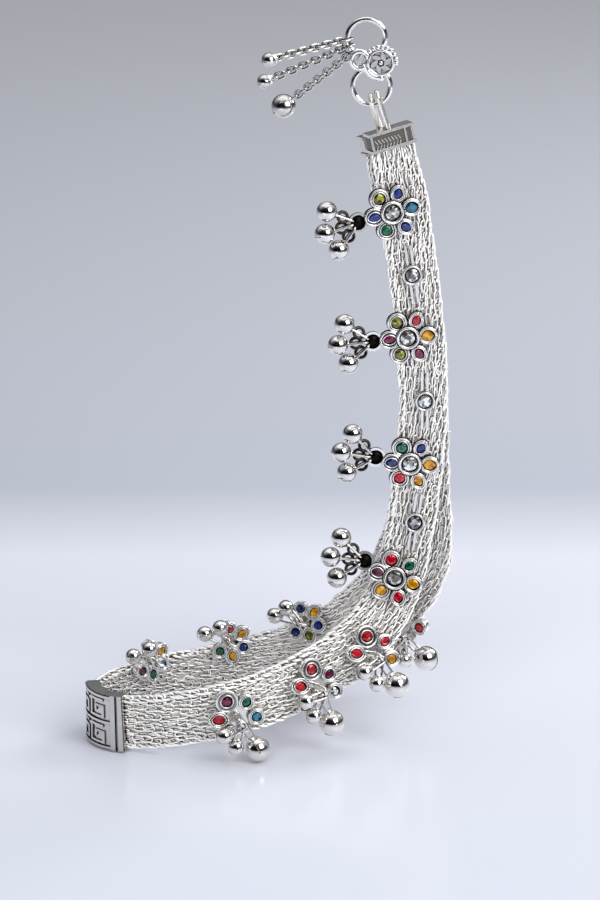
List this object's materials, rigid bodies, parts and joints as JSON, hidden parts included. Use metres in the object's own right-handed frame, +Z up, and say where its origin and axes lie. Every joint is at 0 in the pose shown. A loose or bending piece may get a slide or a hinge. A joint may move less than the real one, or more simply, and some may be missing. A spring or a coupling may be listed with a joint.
{
  "type": "anklet",
  "caption": "woven silver anklet with coloured stone flowers, clusters of small round bells, and a ring with a bell fringe to hang it by",
  "frame": {"origin": "the top inner edge of the upper ring, where the anklet hangs", "axes": "+Z up along the hanging band, -Y towards the front, +X to the right as seen from the front"},
  "size_m": [0.0641, 0.0373, 0.1255],
  "materials": {
    "woven_silver": "bright white silver, woven of fine curb chains",
    "cast_silver": "polished cast silver with darkened recesses",
    "bell_silver": "mirror polished",
    "clear_stone": "faceted, foil backed",
    "blue_stone": "faceted, foil backed",
    "teal_stone": "faceted, foil backed",
    "green_stone": "faceted, foil backed",
    "red_stone": "faceted, foil backed",
    "plum_stone": "faceted, foil backed",
    "amber_stone": "faceted, foil backed",
    "olive_stone": "faceted, foil backed"
  },
  "bodies": {
    "root": {"strap_front": "woven_silver", "strap_rear": "woven_silver", "end_cap_front": "cast_silver", "end_cap_rear": "cast_silver", "fold_plate": "cast_silver", "rosette_link": "cast_silver", "ring_upper": "bell_silver", "ring_lower": "bell_silver", "fringe_chain_1": "cast_silver", "fringe_bell_1": "bell_silver", "centre_bezel_1": "cast_silver", "fringe_chain_2": "cast_silver", "fringe_bell_2": "bell_silver", "centre_bezel_2": "cast_silver", "fringe_chain_3": "cast_silver", "fringe_bell_3": "bell_silver", "centre_bezel_3": "cast_silver", "flower_frame_1": "cast_silver", "bell_cluster_1": "bell_silver", "flower_frame_2": "cast_silver", "bell_cluster_2": "bell_silver", "flower_frame_3": "cast_silver", "bell_cluster_3": "bell_silver", "flower_frame_4": "cast_silver", "bell_cluster_4": "bell_silver", "flower_frame_5": "cast_silver", "bell_cluster_5": "bell_silver", "flower_frame_6": "cast_silver", "bell_cluster_6": "bell_silver", "flower_frame_7": "cast_silver", "bell_cluster_7": "bell_silver", "flower_frame_8": "cast_silver", "bell_cluster_8": "bell_silver", "flower_frame_9": "cast_silver", "bell_cluster_9": "bell_silver", "flower_frame_10": "cast_silver", "bell_cluster_10": "bell_silver", "flower_frame_11": "cast_silver", "bell_cluster_11": "bell_silver", "flower_frame_12": "cast_silver", "bell_cluster_12": "bell_silver", "flower_frame_13": "cast_silver", "bell_cluster_13": "bell_silver", "flower_frame_14": "cast_silver", "bell_cluster_14": "bell_silver", "stones_clear": "clear_stone", "stones_blue": "blue_stone", "stones_teal": "teal_stone", "stones_green": "green_stone", "stones_red": "red_stone", "stones_plum": "plum_stone", "stones_amber": "amber_stone", "stones_olive": "olive_stone"}
  },
  "joints": []
}
